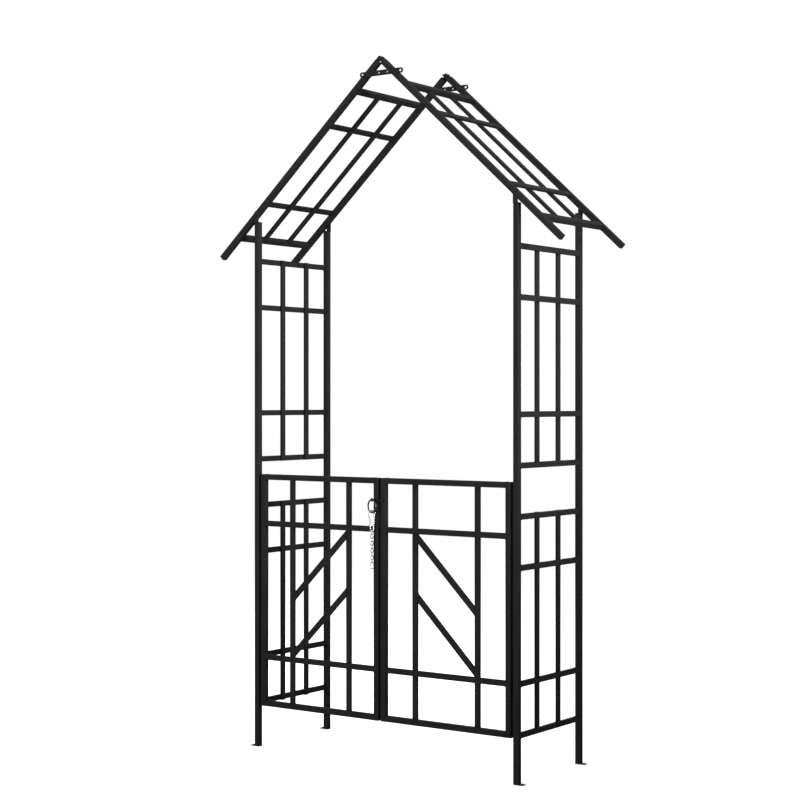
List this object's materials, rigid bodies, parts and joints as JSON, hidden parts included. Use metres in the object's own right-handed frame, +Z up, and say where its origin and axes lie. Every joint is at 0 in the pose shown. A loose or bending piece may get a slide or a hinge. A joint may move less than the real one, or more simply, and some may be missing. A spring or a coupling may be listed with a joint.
{
  "type": "garden arch with gate",
  "caption": "Garden trellis arch in black steel tube with a gabled lattice roof, open lattice sides and a pair of waist-high gates with ring latch and chain",
  "frame": {"origin": "on the ground, midway between the four posts", "axes": "+X right, +Y from the gated front to the back, +Z up"},
  "size_m": [1.3204, 0.4133, 2.2156],
  "materials": {
    "black": "satin powder coat",
    "ring": "gloss",
    "caps": "matte",
    "zinc": "dull zinc plate"
  },
  "bodies": {
    "frame": {"foot_plates": "black", "front_collar_strap": "black", "hinge_pintles": "black", "left_front_rafter": "black", "left_lower_bars": "black", "left_lower_front_post": "black", "left_lower_rails": "black", "left_lower_rear_post": "black", "left_rear_rafter": "black", "left_ridge_tongues": "black", "left_roof_end_crossbars": "black", "left_roof_long_bars": "black", "left_roof_mid_crossbars": "black", "left_upper_bars": "black", "left_upper_front_post": "black", "left_upper_rails": "black", "left_upper_rear_post": "black", "post_top_tabs": "black", "rear_collar_strap": "black", "ridge_spacers": "black", "right_front_rafter": "black", "right_lower_bars": "black", "right_lower_front_post": "black", "right_lower_rails": "black", "right_lower_rear_post": "black", "right_rear_rafter": "black", "right_ridge_tongues": "black", "right_roof_end_crossbars": "black", "right_roof_long_bars": "black", "right_roof_mid_crossbars": "black", "right_upper_bars": "black", "right_upper_front_post": "black", "right_upper_rails": "black", "right_upper_rear_post": "black", "roof_bolts": "black", "roof_nuts": "black", "splice_screws": "black", "splice_sleeves": "black", "tube_end_caps": "caps"},
    "left_gate": {"left_gate_hinge_stile": "black", "left_gate_latch_stile": "black", "left_gate_end_rails": "black", "left_gate_mid_rails": "black", "left_gate_bars": "black", "left_gate_braces": "black", "left_hinge_sockets": "black", "left_latch_eye": "black", "closing_strip": "black"},
    "right_gate": {"right_gate_hinge_stile": "black", "right_gate_latch_stile": "black", "right_gate_end_rails": "black", "right_gate_mid_rails": "black", "right_gate_bars": "black", "right_gate_braces": "black", "right_hinge_sockets": "black", "right_latch_staple": "black"},
    "latch_ring": {"latch_ring": "ring"},
    "snap_hook": {"snap_hook_body": "zinc"},
    "snap_hook_lever": {"snap_hook_lever": "zinc"},
    "chain": {"chain_links": "zinc"}
  },
  "joints": [
    {"name": "left_gate_swing", "type": "hinge", "parent": "frame", "child": "left_gate", "pos_m": [-0.4865, -0.1785, 0.533], "axis": [0, 0, 1], "range_deg": [-34, 88]},
    {"name": "right_gate_swing", "type": "hinge", "parent": "frame", "child": "right_gate", "pos_m": [0.4865, -0.1785, 0.533], "axis": [0, 0, -1], "range_deg": [-34, 88]},
    {"name": "ring_swing", "type": "hinge", "parent": "left_gate", "child": "latch_ring", "pos_m": [-0.0205, -0.203, 0.8275], "axis": [-0.9563, 0.2924, 0], "range_deg": [0, 80]},
    {"name": "hook_swing", "type": "hinge", "parent": "latch_ring", "child": "snap_hook", "pos_m": [-0.0205, -0.203, 0.7875], "axis": [-0.9563, 0.2924, 0], "range_deg": [0, 60]},
    {"name": "lever_press", "type": "hinge", "parent": "snap_hook", "child": "snap_hook_lever", "pos_m": [-0.02587, -0.2069, 0.7584], "axis": [-0.5878, 0.809, 0], "range_deg": [0, 20], "stiffness_Nm_per_rad": 0.02},
    {"name": "chain_swing", "type": "hinge", "parent": "snap_hook", "child": "chain", "pos_m": [-0.0205, -0.203, 0.7278], "axis": [-0.809, -0.5878, 0], "range_deg": [0, 50]}
  ]
}
